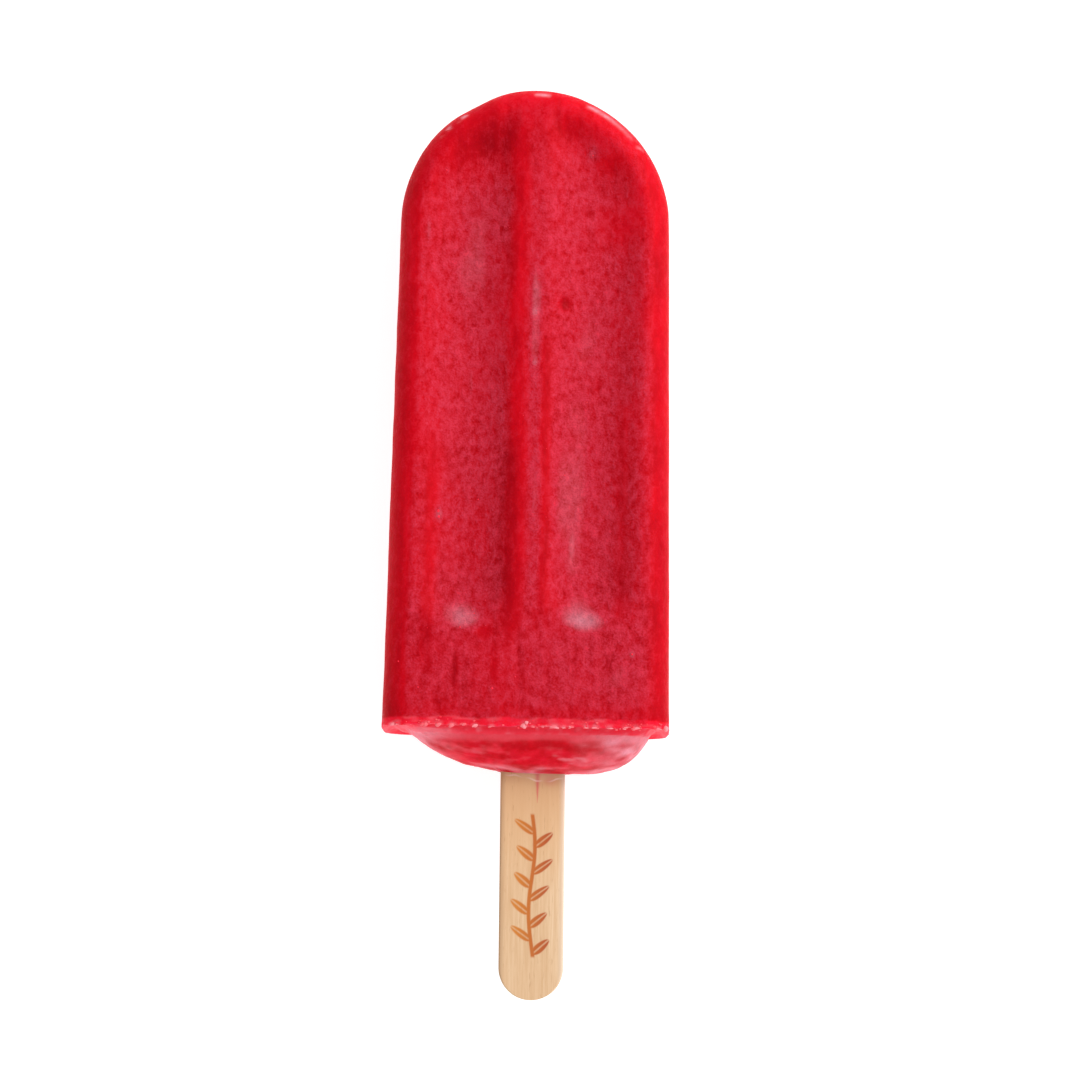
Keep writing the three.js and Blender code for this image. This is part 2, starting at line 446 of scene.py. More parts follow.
@dataclass(frozen=True)
class OpenEnd:
    """The end that the mould leaves open: a rim, a gutter inside it and the frozen hump."""

    height: float = 6.5
    left_width: float = 18.4
    right_width: float = 19.6
    half_depth: float = 10.4
    left_fullness: float = 2.4
    right_fullness: float = 5.8
    depth_fullness: float = 2.3
    gutter_depth: float = 0.7
    gutter_at: float = 0.93
    gutter_spread: float = 0.04
    creeps: Rows = ((1.8, 0.9, 1.4), (3.9, 1.3, 0.7))
    creep_from: float = 2.2

    def rise(self, x: Array, z: Array, share: Array) -> Array:
        """How far the end stands out beyond the rim.

        The hump is one minus a power of the place across, times one minus a power of the place
        through. The gutter is a bell curve of the share of the way to the rim. Close to the wood
        the ice creeps down it.

        Args:
            x: Places across the bar.
            z: Places through it.
            share: Shares of the way from the end's middle to its rim.

        Returns:
            Heights in millimetres, away from the tip.
        """
        u = np.clip(np.where(x < 0, -x / self.left_width, x / self.right_width), 0.0, 1.0)
        v = np.clip(np.abs(z) / self.half_depth, 0.0, 1.0)
        fullness = np.where(x < 0, self.left_fullness, self.right_fullness)
        hump = self.height * (1.0 - u**fullness) * (1.0 - v**self.depth_fullness)
        at_rim = float(bell(np.array(1.0), self.gutter_at, self.gutter_spread))
        gutter = np.clip(bell(share, self.gutter_at, self.gutter_spread) - at_rim, 0.0, None)
        return hump - self.gutter_depth * gutter + self.on_wood(x, z)

    def on_wood(self, x: Array, z: Array) -> Array:
        """How far the ice creeps down the wood: two bell curves across it, fading above it."""
        tongues = sum(reach * bell(x, middle, spread) for middle, spread, reach in self.creeps)
        return tongues * smoothstep(np.abs(z), self.creep_from, 1.0)


@dataclass(frozen=True)
class BarGrid:
    """How finely the bar's skin is drawn, as counts of steps.

    The first ring lies at a small share of the way to the rim, and the last one at an angle round
    the tip, in degrees. Both are zipped shut.
    """

    face_flat: int = 74
    face_fillet: int = 16
    wall: int = 12
    back_flat: int = 18
    back_fillet: int = 7
    end: int = 62
    bevel: int = 14
    straight: int = 190
    dome: int = 84
    first_share: float = 0.02
    last_angle: float = 89.4


@dataclass
class FruitIceBar:
    """The bar of fruit ice: its skin, and how frosted, clear or wet each place of it is.

    Attributes:
        melted_flats: Where the tip has melted: angle round it, depth and reach.
        melt_and_highlight_runs: Meltwater on the tip's edge, with pale highlights painted along
        it: strength, how broken it is, and the angles at which it starts, is full, wanes and ends.
        shrink: How far the skin lies inside the mould, to leave room for its unevenness.
        dashes: Lumps of ice along the rim: place across and size.
        hump_lumps: Lumps of the hump: place across and through, radius and height.
        marks, bands: What makes the faces uneven, painted highlights and painted shade among them.
    """

    mould: BarMould = field(default_factory=BarMould)
    open_end: OpenEnd = field(default_factory=OpenEnd)
    grid: BarGrid = field(default_factory=BarGrid)
    melted_flats: Rows = ((118.0, 0.35, 4.0), (53.0, 0.15, 8.0))
    melt_and_highlight_runs: Rows = (
        (0.6, 2, 28.0, 31.0, 35.0, 38.0),
        (0.36, 0, 39.0, 44.0, 50.0, 57.0),
        (0.66, 0, 50.0, 57.0, 65.0, 68.0),
        (0.8, 0, 83.0, 85.0, 90.0, 92.0),
        (0.8, 1, 119.0, 125.0, 136.0, 142.0),
    )
    shrink: float = 0.03
    dashes: Rows = (
        (-20.3, 0.45), (-19.5, 0.35), (-15.4, 0.62), (-13.2, 0.6), (-11.2, 0.62), (-9.5, 0.4), (-7.7, 0.42),
        (-5.1, 0.45), (-0.15, 0.62), (1.1, 0.3), (2.7, 0.25), (4.5, 0.7), (5.9, 0.4), (6.9, 0.4),
        (9.3, 0.45), (10.7, 0.6), (12.8, 0.5), (15.3, 0.4), (16.8, 0.75), (20.2, 0.5),
    )
    hump_lumps: Rows = (
        (-5.6, 1.5, 3.0, -0.55),
        (-14.0, 3.0, 2.6, 0.2),
        (14.4, 4.0, 2.8, 0.2),
        (8.6, 6.6, 2.2, 0.3),
        (2.4, 7.6, 1.8, -0.2),
        (-2.0, -4.0, 3.0, 0.3),
        (-9.0, -5.0, 2.5, -0.3),
        (9.5, -4.0, 3.0, -0.35),
    )
    marks: tuple[SurfaceMark, ...] = tuple(
        SurfaceMark(*row)
        for row in (
            # a thawed pit, the pale streak beside it and its knots, and other pale streaks
            (5.04, 65.9, 1.0, 1.15, -0.35, -0.9, -0.25), (0.2, 68.2, 0.5, 8.0, 0.1, 0.2, 0.12),
            (0.27, 64.3, 0.5, 1.2, 0.1, 0.35, 0.1), (0.42, 56.4, 0.4, 1.0, 0.1, 0.4, 0.1),
            (6.62, 27.8, 0.4, 6.0, 0.05, 0.25, 0.06), (-9.4, 53.0, 0.3, 10.0, 0.03, 0.3),
            (-16.4, 77.1, 0.45, 5.0, 0.0, 0.45, 0.05),
            # painted highlights, as white frost, where the channels end, and a thawed dent and clearer ice
            # beside it
            (-10.3, 16.6, 3.7, 0.7, 0.0, 0.36), (-9.8, 16.6, 2.2, 0.7, 0.0, 0.42),
            (7.0, 17.0, 3.3, 0.52, 0.0, 0.45), (8.7, 16.2, 2.7, 0.48, 0.0, 0.65),
            (-6.6, 14.3, 1.1, 0.8, -0.12, -0.8), (-5.8, 13.8, 3.0, 0.8, 0.0, -0.25, -0.14),
            # dark upright runs above the rim
            (-10.9, 8.5, 0.55, 8.0, -0.05, -0.5, -0.22), (-8.0, 6.5, 0.4, 6.0, -0.04, -0.35, -0.12),
            (-4.9, 8.0, 0.6, 6.0, -0.04, -0.4, -0.1), (-0.9, 8.5, 0.8, 6.0, -0.05, -0.35, -0.18),
            (2.9, 6.5, 0.7, 6.0, -0.04, -0.25, -0.1), (7.4, 10.8, 0.5, 4.0, -0.05, -0.3, -0.16),
            (12.9, 10.6, 0.9, 2.4, -0.05, -0.35, -0.18),
            # clear ice with painted shade at the channels' upper ends, under the tip
            (-6.0, 92.6, 3.8, 1.1, 0.0, -0.3, -0.32), (-10.0, 91.0, 3.6, 0.8, 0.0, -0.3, -0.16),
            (5.0, 93.2, 2.6, 0.9, 0.0, -0.3, -0.2), (11.8, 87.6, 2.8, 0.8, 0.0, -0.35, -0.1),
            (-11.2, 87.6, 3.2, 0.9, 0.0, -0.25, -0.12),
            # uneven frost on the faces
            (13.2, 78.4, 3.4, 1.3, 0.0, -0.4, 0.02), (15.8, 82.0, 2.0, 2.2, 0.0, -0.1, 0.12),
            (-9.2, 79.0, 2.6, 2.0, 0.0, 0.14, 0.06), (-8.6, 69.0, 3.0, 1.6, 0.0, 0.15, 0.04),
            (-17.6, 69.0, 1.6, 3.0, 0.0, 0.14, 0.02), (12.8, 14.6, 2.6, 0.9, 0.0, 0.0, -0.12),
            (14.8, 7.2, 3.2, 1.0, 0.0, 0.14), (19.4, 17.4, 2.2, 1.8, 0.0, -0.1, -0.1),
            (7.8, 21.8, 2.6, 0.9, 0.0, -0.2),
            # a little frost round the larger specks
            (-14.05, 32.7, 0.8, 1.4, 0.0, 0.6, 0.12), (8.9, 89.8, 0.9, 1.2, 0.0, 0.5, 0.06),
            (16.1, 11.3, 0.5, 1.0, 0.0, 0.5, 0.1), (-5.2, 5.7, 0.6, 1.0, 0.0, 0.4, 0.1),
            (-13.9, 86.7, 0.5, 1.0, 0.0, 0.4, 0.1),
        )
    )
    bands: tuple[FrostBand, ...] = tuple(
        FrostBand(*row)
        for row in (
            # clear ice beside both edges, with painted shade darkening the right one
            (-20.3, 1.6, 0.0, 99.0, -0.9, -0.02), (21.0, 2.2, 0.0, 99.0, -0.3, -0.14),
            # clear streaks where a channel's wall is steep, and frost beside them
            (-15.6, 1.1, 8.0, 44.0, -0.45, -0.1), (-5.6, 1.4, 18.0, 42.0, 0.0, -0.06),
            (-3.6, 1.6, 14.0, 44.0, -0.15, -0.16), (-2.4, 1.5, 14.0, 92.0, -0.55, -0.08),
            (-2.2, 1.4, 62.0, 80.0, 0.0, 0.1), (0.6, 0.9, 20.0, 70.0, 0.37, 0.1),
            (2.4, 0.7, 17.0, 61.0, -0.5, -0.16), (6.4, 3.0, 17.0, 60.0, 0.24),
            (14.4, 1.0, 17.0, 50.0, -0.45, -0.08),
            # the flat above the rim
            (-13.0, 6.0, 2.0, 16.0, 0.0, -0.05), (9.0, 8.0, 2.0, 16.0, 0.22),
        )
    )

    def columns(self) -> tuple[Array, Array, Array]:
        """Lay the corners of a ring out: right half of the front, right wall, right half of the
        back, and the same three mirrored, so that corner j mirrors corner -1 - j.

        Returns:
            For each corner its share of the half width, its share of the wall's half height, and
            1 on the front, -1 on the back and 0 on a wall.
        """
        g, m = self.grid, self.mould
        crown = 1.0 - m.edge_radius / m.rim_half_width

        def half_face(flat: int, fillet: int) -> Array:
            """Lay a half face's corners out, evenly over the flat and by angle over the fillet.

            Args:
                flat: How many corners the flat has.
                fillet: How many steps the fillet has.

            Returns:
                Shares of the half width, from the middle out.
            """
            inner = crown * (np.arange(flat) + 0.5) / flat
            angle = np.linspace(0.0, math.pi / 2, fillet + 1)
            return np.concatenate([inner, crown + (1.0 - crown) * np.sin(angle)])

        front = half_face(g.face_flat, g.face_fillet)
        back = half_face(g.back_flat, g.back_fillet)[::-1]
        wall = np.linspace(1.0, -1.0, g.wall + 1)[1:-1]
        share = np.concatenate([front, np.ones(len(wall)), back])
        up = np.concatenate([np.ones(len(front)), wall, -np.ones(len(back))])
        side = np.concatenate([np.ones(len(front)), np.zeros(len(wall)), -np.ones(len(back))])
        mirror = slice(None, None, -1)
        return (
            np.concatenate([share, -share[mirror]]),
            np.concatenate([up, up[mirror]]),
            np.concatenate([side, side[mirror]]),
        )

    def sections(self, y: Array) -> Array:
        """Closed sections of the bar at each y: faces at their height, walls bowed inwards.

        Args:
            y: Places along the bar, one for each section.

        Returns:
            Points as sections by corners by 3.
        """
        m = self.mould
        share, up, side = self.columns()
        at = y[:, None] + 0.0 * share[None, :]
        width = m.half_width(at)
        wall = up * (m.half_thickness(at) - m.edge_radius)
        z = np.where(side == 0, wall, side * m.face_height(share * width, at))
        bow = m.side_bow * (z / m.half_thickness(at)) ** 2 * np.abs(share) ** 3
        x = share * (width - bow * width / m.rim_half_width)
        return np.stack([x, at, z], axis=-1)

    def skin(self) -> tuple[Array, Array]:
        """The bar's skin before its small unevenness, from the hump's middle to the tip.

        Returns:
            Points as rings by corners by 3, and for each ring its share of the way from the
            hump's middle to the rim, which is 1 from the rim on.
        """
        g, m = self.grid, self.mould
        edge = np.linspace(0.0, 1.0, g.bevel + 1)[:-1] * m.rim_bevel_height
        straight = np.linspace(m.rim_bevel_height, m.dome_start, g.straight + 1)[:-1]
        tip = m.dome_start + m.dome_radius * np.sin(np.linspace(0.0, math.radians(g.last_angle), g.dome))
        body = self.sections(np.concatenate([edge, straight, tip]))
        share = np.linspace(g.first_share, 1.0, g.end + 1)[:-1]
        end = body[0][None] * share[:, None, None]
        end[..., 1] = -self.open_end.rise(end[..., 0], end[..., 2], share[:, None])
        rings = np.concatenate([end, body])
        return self.melt(rings), np.concatenate([share, np.ones(len(body))])

    def melt(self, points: Array) -> Array:
        """Move points near each melted flat towards the dome's middle, by a bell curve.

        Args:
            points: The skin, as rings by corners by 3.

        Returns:
            The moved points in the same shape.
        """
        m = self.mould
        out = points.copy()
        for degrees, depth, spread in self.melted_flats:
            way = np.array([math.cos(math.radians(degrees)), math.sin(math.radians(degrees))])
            middle = way * m.dome_radius + np.array([0.0, m.dome_start])
            away = np.linalg.norm(out[..., :2] - middle, axis=-1)
            out[..., :2] -= (depth * bell(away, 0.0, spread))[..., None] * way
        return out

    def roughened(self, rings: Array, share: Array) -> Array:
        """Add the frozen surface's unevenness along the normals.

        It is slow waves all over, fine grain on the faces, upright streaks near the rim, chips on
        the rim itself, lumps and wrinkles on the hump, and the marks.

        Args:
            rings: The smooth skin, as rings by corners by 3.
            share: Each ring's share of the way to the rim.

        Returns:
            The moved points in the same shape.
        """
        x, y, z = rings[..., 0], rings[..., 1], rings[..., 2]
        on_end = share[:, None] < 1.0
        near_rim = bell(y, 0.0, 0.9) * smoothstep(share, 0.93, 1.0)[:, None] * smoothstep(z, -11.0, 9.0)
        streaks = noise(rings, (1.3, 11.0, 40.0), 5) * smoothstep(y, 15.0, 11.0) * smoothstep(y, 2.0, 4.0)
        move = 0.12 * fractal(rings, 9.0, 1, 3) + 0.03 * fractal(rings, 1.6, 11, 2)
        move += 0.05 * streaks * ~on_end
        move += near_rim * (0.14 * noise(rings, 0.75, 21) + 0.12 * noise(rings, 2.6, 22))
        inside = on_end * smoothstep(share, 0.93, 0.8)[:, None]
        folds = 1.0 - np.abs(noise(rings, (7.0, 2.2, 1.6), 31)) * 5.0
        move += inside * (0.24 * fractal(rings, 3.2, 33, 3) + 0.07 * np.clip(folds, 0.0, 1.0))
        for lump_x, lump_z, radius, height in self.hump_lumps:
            move += inside * height * bell(np.hypot(x - lump_x, z - lump_z), 0.0, radius)
        for mark in self.marks:
            move += mark.height * self.mark_weight(mark, rings)
        by_wood = (np.abs(z) < 1.6) * smoothstep(np.abs(x - 1.3), 6.4, 5.2) * on_end
        calm = smoothstep(np.abs(x) + np.abs(z), 0.0, 1.0) * (1.0 - 0.8 * by_wood)
        return rings + grid_normals(rings) * ((move - self.shrink) * calm)[..., None]

    def mark_weight(self, mark: SurfaceMark, rings: Array) -> Array:
        """Weight of a mark at each point of the shown face: a bell with a flat top.

        Args:
            mark: The mark.
            rings: The smooth skin, as rings by corners by 3.

        Returns:
            Weights from 0 to 1, one for each point.
        """
        dx = (rings[..., 0] - mark.x) / mark.radius
        dy = (rings[..., 1] - mark.y) / (mark.radius * mark.stretch)
        on_face = rings[..., 2] > 0
        return np.exp(-((dx * dx + dy * dy) ** 1.5)) * on_face

    def band_weight(self, band: FrostBand, rings: Array) -> Array:
        """Weight of a band at each point of either face: a bell across it, faded at its ends.

        The band narrows with the bar and wanders a little.

        Args:
            band: The band.
            rings: The smooth skin, as rings by corners by 3.

        Returns:
            Weights from 0 to 1, one for each point.
        """
        y = rings[..., 1]
        narrowing = self.mould.straight_half_width(y) / self.mould.rim_half_width
        wander = 0.25 * noise(rings, (9.0, 6.0, 60.0), 47)
        across = np.exp(-(np.abs((rings[..., 0] / narrowing + wander - band.x) / band.spread) ** 3))
        begun = smoothstep(y, band.low - 2.0, band.low + 3.0)
        return across * begun * smoothstep(y, band.high + 4.0, band.high - 4.0)

    def face_shades(self, rings: Array) -> tuple[Array, Array, Array]:
        """Frost, tone and paleness of the faces, the walls and the chamfer of the rim.

        Frost is even on the floors of the channels, thins on their walls and is gone on the
        rounded edges. The chamfer is bright bare ice, grainy and broken along its top.

        Args:
            rings: The smooth skin, as rings by corners by 3.

        Returns:
            The three shades, each with one number a point.
        """
        m = self.mould
        x, y = rings[..., 0], rings[..., 1]
        inset = m.inset(x, np.clip(y, 0.0, None))
        face = smoothstep(inset, 1.0, 4.0)
        blotch = fractal(rings, (4.5, 9.0, 5.0), 41, 2)
        frost = np.clip(face * (0.45 + 0.25 * m.channel(x, y) + 0.25 * blotch), 0.0, 0.85)
        tone = 0.5 + 0.12 * fractal(rings, (2.4, 7.0, 5.0), 71, 3) + 0.07 * noise(rings, (0.7, 6.0, 5.0), 75)
        tone += 0.02 * smoothstep(y, 82.0, 96.0) - 0.05 * smoothstep(y, 30.0, 5.0)
        frost *= 1.0 - 0.5 * smoothstep(y, 82.0, 98.0)
        # Some bands and marks paint shade, and some paint highlights as white frost.
        for band in self.bands:
            weight = self.band_weight(band, rings)
            frost += band.frost * weight
            tone += band.tone * weight
        broken = 1.0 + 0.3 * fractal(rings, 1.3, 44, 2)
        for mark in self.marks:
            weight = self.mark_weight(mark, rings)
            frost += mark.frost * weight * broken
            tone += mark.tone * weight
        top = 1.2 + 0.2 * noise(rings, (3.0, 30.0, 30.0), 81) + 0.15 * noise(rings, (0.9, 30.0, 30.0), 82)
        strip = smoothstep(y, top + 0.25, top - 0.25)
        above = bell(y, 2.2, 0.8) * (0.6 + 0.6 * noise(rings, (4.0, 30.0, 30.0), 83))
        frost = frost * (1.0 - 0.6 * strip) - 0.5 * above * (1.0 - strip)
        tone = tone + strip * (0.5 + 0.2 * noise(rings, 0.9, 84)) - 0.1 * above
        pale = strip * np.clip(0.2 * noise(rings, (1.3, 0.5, 0.8), 85), 0.0, 1.0)
        dash_y = 0.05 + 0.12 * noise(rings, (2.0, 30.0, 30.0), 86)
        for place, size in self.dashes:
            spot = ((x - place) / size) ** 2 + ((y - dash_y) / (0.7 * size)) ** 2
            pale += 0.3 * np.exp(-(spot**1.5)) * (rings[..., 2] > 0)
        return frost, tone, pale

    def end_shades(self, rings: Array) -> tuple[Array, Array, Array]:
        """Frost, tone and paleness of the open end, by how far it stands out and how far aside.

        The lip is bright bare ice. A smooth pale band lies beside it and widens to both sides.
        Then painted shade darkens a fold over the middle, where the ice is also clearer, and bare red
        ice with thin pale wrinkles follows, then a paler foot.

        Args:
            rings: The smooth skin, as rings by corners by 3.

        Returns:
            The three shades, each with one number a point.
        """
        x, out, z = rings[..., 0], -rings[..., 1], rings[..., 2]
        waver = 0.4 * fractal(rings, (4.0, 4.0, 2.0), 51, 2)
        mottle = fractal(rings, (2.6, 1.6, 1.3), 52, 3)
        patch = noise(rings, (5.0, 2.4, 2.0), 53)
        aside = smoothstep(np.abs(x + 1.0), 7.0, 16.5)
        left = smoothstep(x, -9.0, -14.0) * smoothstep(out, 0.1, 0.6)
        lip = smoothstep(out + (0.4 + smoothstep(z, 9.0, 5.0)) * waver, 1.3, 0.9)
        band = smoothstep(out + waver, 2.4, 1.5) * (1.0 - lip)
        body = (1.0 - band) * (1.0 - lip)
        foot = smoothstep(out + 0.6 * waver, 5.2, 6.2)
        # Painted shade in the fold under the band, where the ice is also clearer.
        shaded_crease = bell(out + waver, 2.8, 0.8) * smoothstep(aside, 0.6, 0.1)
        line = 4.1 + 0.2 * np.sin(1.3 * x) + 0.05 * x
        torn = np.clip(0.6 + 2.0 * noise(rings, (0.9, 0.5, 0.5), 54), 0.0, 1.0)
        wrinkle = torn * bell(out, line, 0.22) * smoothstep(x, 3.5, 5.0) * smoothstep(x, 11.5, 9.0)
        second = torn * bell(out, line + 0.6, 0.16) * smoothstep(x, 5.5, 7.0) * smoothstep(x, 10.5, 8.5)
        wrinkle += 0.5 * second
        frost = 0.03 + 0.3 * mottle * body - 0.3 * shaded_crease
        speckle = noise(rings, 0.9, 56)
        tone = 0.64 + (0.35 * mottle + 0.2 * patch + 0.18 * speckle) * body
        tone += 0.14 * band + 0.36 * lip - 0.16 * shaded_crease
        pale_film = self.open_end.on_wood(x, z) * smoothstep(out, 6.6, 7.1)
        pale = band * (0.12 + 0.38 * aside)
        pale += lip * (0.06 + 0.25 * left + 0.25 * np.clip(noise(rings, (0.9, 0.5, 0.5), 55), 0.0, 1.0))
        pale += body * aside * np.clip(0.34 + 0.5 * mottle, 0.0, 1.0)
        pale += foot * (0.08 + 0.16 * smoothstep(np.abs(x + 4.0), 9.0, 5.0)) * (1.0 + 1.5 * mottle)
        pale += 0.3 * wrinkle + 0.2 * np.clip(mottle - 0.1, 0.0, None) * body + 0.3 * pale_film
        return frost, np.maximum(tone, 0.42), np.clip(pale, 0.0, 1.0)

    def meltwater_and_highlight(self, rings: Array) -> Array:
        """Meltwater along the tip's edge, with painted highlights: a bell across it, times the runs round the
        tip.

        Args:
            rings: The smooth skin, as rings by corners by 3.

        Returns:
            Wetness from 0 to 1, one number for each point.
        """
        m = self.mould
        x, y = rings[..., 0], rings[..., 1]
        inset = m.inset(x, np.clip(y, 0.0, None))
        angle = np.degrees(np.arctan2(y - m.dome_start, x))
        broken = smoothstep(noise(rings, (1.0, 1.0, 8.0), 61), -0.25, 0.25)
        arcs = np.zeros(angle.shape)
        for strength, breaks, start, full, wane, end in self.melt_and_highlight_runs:
            arcs += strength * broken**breaks * smoothstep(angle, start, full) * smoothstep(angle, end, wane)
        run = bell(inset, 1.3, 0.28 + 0.08 * smoothstep(x, -3.0, 6.0)) * arcs * (0.7 + 0.3 * broken)
        return run * (y > m.dome_start) * (rings[..., 2] > 0)

    def shades(self, rings: Array, share: Array) -> dict[str, Array]:
        """How the ice looks at each point, as numbers that its finish reads.

        Args:
            rings: The smooth skin, as rings by corners by 3.
            share: Each ring's share of the way to the rim.

        Returns:
            The attributes frost (0 none, 1 usual, 2 a white veil), tone (0 dark, 1 bright), pale (with the
            painted highlights of the meltwater), wet and grit (how grainy it is), each with one number a
            point.
        """
        on_end = share[:, None] < 1.0
        face, end = self.face_shades(rings), self.end_shades(rings)
        frost, tone, pale = (np.where(on_end, b, a) for a, b in zip(face, end))
        wet = self.meltwater_and_highlight(rings)
        grit = np.where(on_end, 0.75, 1.0 - 0.2 * smoothstep(rings[..., 1], 76.0, 98.0))
        return {
            "frost": np.clip(frost, 0.0, 2.0),
            "tone": np.clip(tone, 0.0, 1.0),
            # The meltwater runs also paint pale highlights into the ice's colour; wet sets their real coat of
            # gloss.
            "pale": np.clip(pale + 0.7 * wet, 0.0, 1.0),
            "wet": np.clip(0.4 * wet, 0.0, 1.0),
            "grit": grit,
        }

    def build(self, place: LyingPlace) -> bpy.types.Object:
        """Make the bar's mesh and keep it inside the solid's box, whose bottom it lies on.

        Args:
            place: Where the bar's frame lies in the model.

        Returns:
            The bar as one closed mesh object.
        """
        rings, share = self.skin()
        low, high = (np.array(corner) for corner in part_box("ice"))
        points = np.clip(place.place(self.roughened(rings, share)).reshape(-1, 3), low, high)
        faces = outward(points, ring_faces(*rings.shape[:2]))
        return mesh_object("fruit_ice_bar", points, faces, self.shades(rings, share))


# ---------------------------------------------------------------- the stick


@dataclass
class BirchStick:
    """The flat stick: a sliced slat with round ends and eased edges, and what marks it."""

    length: float = 114.0
    width: float = 10.0
    thickness: float = 2.0
    ease: float = 0.3
    blunt: float = 0.004
    end_y: float = -41.4
    offset: float = 1.2
    lean: float = math.radians(0.46)
    shown: float = 38.0
    leaves_ice: float = 34.9
    juice_length: float = 4.6
    end_steps: int = 30
    shown_steps: int = 300
    hidden_steps: int = 8
    edge_steps: int = 8
    flat_steps: int = 48
    sprig_top: float = 6.3
    sprig_length: float = 22.0
    stem_half_width: float = 0.3
    stem_wave: float = 0.45
    leaf_pairs: int = 5
    first_leaf: float = 3.0
    leaf_length: float = 3.6
    leaf_half_width: float = 0.78
    leaf_angle: float = math.radians(38.0)
    ink_softness: float = 0.09

    def sections(self) -> Array:
        """Grid of the stick: sections across it from the shown end to the hidden one.

        A section's corners run over the top, round an eased edge, under the bottom and round the
        other edge. Its half width follows a half circle at both ends.

        Returns:
            Points as sections by corners by 3, in the stick's own frame, whose y runs from its
            shown end.
        """
        radius, thick = self.width / 2, self.thickness / 2
        shown_end = radius * (1.0 - np.cos(np.linspace(0.0, math.pi / 2, self.end_steps)))
        shown_end[0] = self.blunt
        body = np.linspace(radius, self.shown, self.shown_steps)[1:]
        hidden = np.linspace(self.shown, self.length - radius, self.hidden_steps)[1:]
        far_end = self.length - shown_end[::-1]
        along = np.concatenate([shown_end, body, hidden, far_end[1:]])
        reach = np.clip(radius - np.minimum(along, self.length - along), 0.0, None)
        half = np.sqrt(radius**2 - reach**2)
        turn = np.linspace(0.0, math.pi, self.edge_steps)
        top = (np.arange(self.flat_steps) + 0.5) / self.flat_steps
        bottom = top[::-3]
        ease = self.ease * np.minimum(1.0, 3.0 * half / radius)
        inner = (half - ease)[:, None]
        edge_x = inner + ease[:, None] * np.sin(turn)
        edge_z = (thick - self.ease) * np.sign(np.cos(turn)) + self.ease * np.cos(turn)
        right_x = np.concatenate([inner * top, edge_x, inner * bottom], axis=1)
        right_z = np.concatenate([np.full(len(top), thick), edge_z, np.full(len(bottom), -thick)])
        x = np.concatenate([right_x, -right_x[:, ::-1]], axis=1)
        z = np.concatenate([right_z, right_z[::-1]]) + 0.0 * x
        return np.stack([x, along[:, None] + 0.0 * x, z], axis=-1)

    def into_bar(self, points: Array) -> Array:
        """Carry points into the bar's frame: along, turned by the lean, then aside.

        Args:
            points: Places in the stick's own frame.

        Returns:
            The same places in the bar's frame.
        """
        c, s = math.cos(self.lean), math.sin(self.lean)
        x, y, z = points[..., 0], points[..., 1] + self.end_y, points[..., 2]
        return np.stack([x * c - y * s + self.offset, x * s + y * c, z], axis=-1)

    def sprig(self, x: Array, from_ice: Array) -> Array:
        """Ink of a plain leafy sprig: a waving stem, and lens-shaped leaves to either side of it.

        Args:
            x: Places across the stick.
            from_ice: Distances from where the stick leaves the ice.

        Returns:
            Ink from 0 to 1.
        """
        t = (from_ice - self.sprig_top) / self.sprig_length
        stem_x = self.stem_wave * np.sin(t * 2.2 * math.pi)
        inside = smoothstep(t, -0.01, 0.01) * smoothstep(t, 1.01, 0.99)
        soft, half_stem = self.ink_softness, self.stem_half_width
        ink = smoothstep(np.abs(x - stem_x), half_stem + soft, half_stem - soft) * inside
        step = 0.5 * self.sprig_length / (self.leaf_pairs + 0.35)
        sine, cosine = math.sin(self.leaf_angle), math.cos(self.leaf_angle)
        for k in range(2 * self.leaf_pairs):
            dx = (x - stem_x) * (1.0 if k % 2 else -1.0)
            dy = from_ice - (self.sprig_top + self.first_leaf + step * k)
            along = (dx * cosine - dy * sine) / self.leaf_length
            aside = np.abs(dx * sine + dy * cosine)
            lens = self.leaf_half_width * np.sqrt(np.clip(1.0 - (2.0 * along - 1.0) ** 2, 0.0, 1.0))
            lens *= 0.65 + 0.35 * np.clip(1.0 - along, 0.0, 1.0)
            leaf = smoothstep(aside, lens + soft, np.maximum(lens - soft, 0.0) - 1e-3)
            leaf *= (along > 0.0) & (along < 1.0)
            vein = smoothstep(aside, 0.06, 0.16)
            ink = np.maximum(ink, leaf * (0.35 + 0.65 * vein))
        return ink

    def shades(self, points: Array) -> dict[str, Array]:
        """What marks the wood at each point, as numbers that its finish reads.

        Args:
            points: The stick's grid in its own frame.

        Returns:
            The attributes ink, juice, film, damp and edge (0 painted shade, 1 painted light), each with
            one number a point.
        """
        x, y, z = points[..., 0], points[..., 1], points[..., 2]
        from_ice = self.leaves_ice - y
        top = z > self.thickness / 2 - 0.05
        ink = np.where(top, self.sprig(x, from_ice), 0.0)
        left = 1.0 - from_ice / self.juice_length
        streak = bell(x, 0.75, 0.42 * np.clip(left, 0.05, 1.0)) * (left > 0.0)
        blot = 0.5 * bell(np.hypot((x - 2.7) / 1.1, (from_ice - 1.0) / 0.8), 0.0, 1.0)
        juice = np.clip(streak + blot, 0.0, 1.0) * top
        reach = 0.2 + 1.0 * bell(x, 1.8, 3.2) + 0.08 * np.sin(2.9 * x)
        thick = 0.35 + 0.3 * np.sin(1.9 * x + 1.0)
        film = (0.08 * smoothstep(from_ice, reach, reach - 0.4) + thick * bell(from_ice, reach, 0.11)) * top
        damp = smoothstep(from_ice, 22.0, -1.0)
        half = self.width / 2
        # Painted shade on the stick's left edge and painted light on its right one.
        painted_edge_light_shade = smoothstep(x, 0.78 * half, half) - 0.9 * smoothstep(x, -0.8 * half, -0.97 * half)
        return {"ink": ink, "juice": juice, "film": film, "damp": damp, "edge": 0.5 + 0.5 * painted_edge_light_shade}

    def build(self, place: LyingPlace) -> bpy.types.Object:
        """Make the stick's mesh.

        Args:
            place: Where the bar's frame lies in the model.

        Returns:
            The stick as one closed mesh object.
        """
        grid = self.sections()
        points = place.place(self.into_bar(grid)).reshape(-1, 3)
        faces = outward(points, ring_faces(*grid.shape[:2]))
        return mesh_object("birch_stick", points, faces, self.shades(grid))


# ---------------------------------------------------------------- crystals


